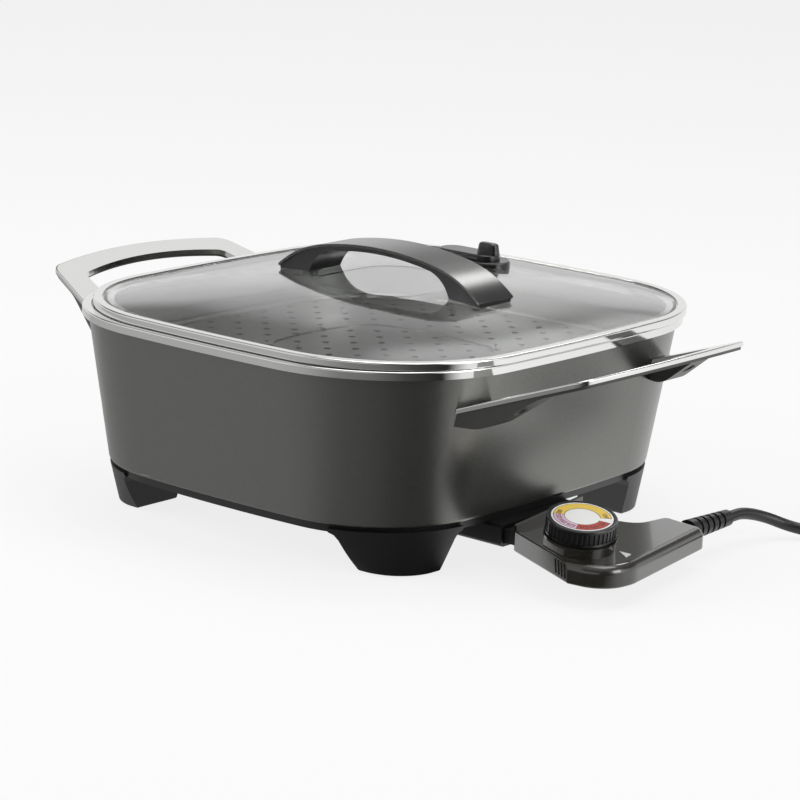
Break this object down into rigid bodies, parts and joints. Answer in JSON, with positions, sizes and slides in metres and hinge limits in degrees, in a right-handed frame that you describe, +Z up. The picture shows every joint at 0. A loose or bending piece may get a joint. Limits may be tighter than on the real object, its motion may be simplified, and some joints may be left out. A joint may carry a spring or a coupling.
{
  "type": "electric skillet",
  "caption": "Electric skillet with rounded square cast pan, domed glass lid with arched handle and steam vent, perforated steamer tray, looped side handles and plug-in dial control.",
  "frame": {"origin": "on the table plane, under the middle of the whole footprint from the far side handle to the control's outer side, with the cord left out", "axes": "+X from the pan towards the plug-in control, +Y along the longer side of the pan away from the dial, +Z up"},
  "size_m": [0.5586, 0.4492, 0.1605],
  "materials": {
    "pan_finish": "satin metallic coating, faint brushing",
    "polished_steel": "polished stainless steel",
    "satin_steel": "brushed stainless steel",
    "black_plastic": "moulded phenolic, matt",
    "control_plastic": "dark glossy plastic",
    "foot_rubber": "rubber",
    "clear_glass": "tempered glass",
    "clear_seal": "silicone",
    "tray_metal": "satin aluminium sheet",
    "element_metal": "sheathed element, heat toned steel",
    "contact_metal": "plain metal contacts",
    "screw_metal": "zinc plated steel",
    "dial_face": "printed scale disc",
    "mark_white": "white mark",
    "cord_black": "flexible cord jacket"
  },
  "bodies": {
    "pan": {"pan_body": "pan_finish", "pan_rim": "polished_steel", "base_skirt": "black_plastic", "foot_pads": "foot_rubber", "base_screws": "screw_metal", "heating_element": "element_metal", "terminal_pins": "contact_metal", "sensor_well": "tray_metal", "terminal_guard": "black_plastic", "handle_plate_left": "polished_steel", "handle_plate_right": "polished_steel", "handle_grip_left": "black_plastic", "handle_grip_right": "black_plastic", "handle_screws": "screw_metal", "handle_studs": "screw_metal"},
    "tray": {"steamer_tray": "tray_metal"},
    "lid": {"lid_glass": "clear_glass", "lid_band": "polished_steel", "lid_seal": "clear_seal", "lid_handle_strap": "satin_steel", "lid_handle_liner": "black_plastic", "lid_handle_washers": "clear_seal", "lid_handle_screws": "screw_metal", "vent_base": "black_plastic", "vent_nut": "black_plastic"},
    "vent": {"vent_lever": "black_plastic"},
    "control": {"control_base": "control_plastic", "control_cover": "control_plastic", "control_screws": "screw_metal", "control_nose": "black_plastic", "contact_sleeves": "contact_metal", "probe_rod": "satin_steel", "thermostat_block": "black_plastic", "bimetal_blades": "contact_metal", "dial_pointer": "mark_white", "strain_relief": "cord_black", "power_cord": "cord_black", "cord_coil": "cord_black", "cord_tie": "black_plastic", "power_plug": "cord_black", "plug_blades": "contact_metal"},
    "dial": {"dial_knob": "black_plastic", "dial_scale": "dial_face", "dial_ring": "satin_steel", "dial_collar": "black_plastic", "dial_shaft": "screw_metal"}
  },
  "joints": [
    {"name": "lid_lift", "type": "slide", "parent": "pan", "child": "lid", "axis": [0, 0, 1], "range_m": [0, 0.2]},
    {"name": "tray_lift", "type": "slide", "parent": "pan", "child": "tray", "axis": [0, 0, 1], "range_m": [0, 0.022]},
    {"name": "vent_turn", "type": "hinge", "parent": "lid", "child": "vent", "pos_m": [-0.0212, 0.0962, 0.138], "axis": [0, 0, 1], "range_deg": [0, 90]},
    {"name": "control_pull", "type": "slide", "parent": "pan", "child": "control", "axis": [1, 0, 0], "range_m": [0, 0.075]},
    {"name": "dial_turn", "type": "hinge", "parent": "control", "child": "dial", "pos_m": [0.191, -0.0606, 0.044], "axis": [0.151, -0.1138, 0.982], "range_deg": [0, 290]}
  ]
}
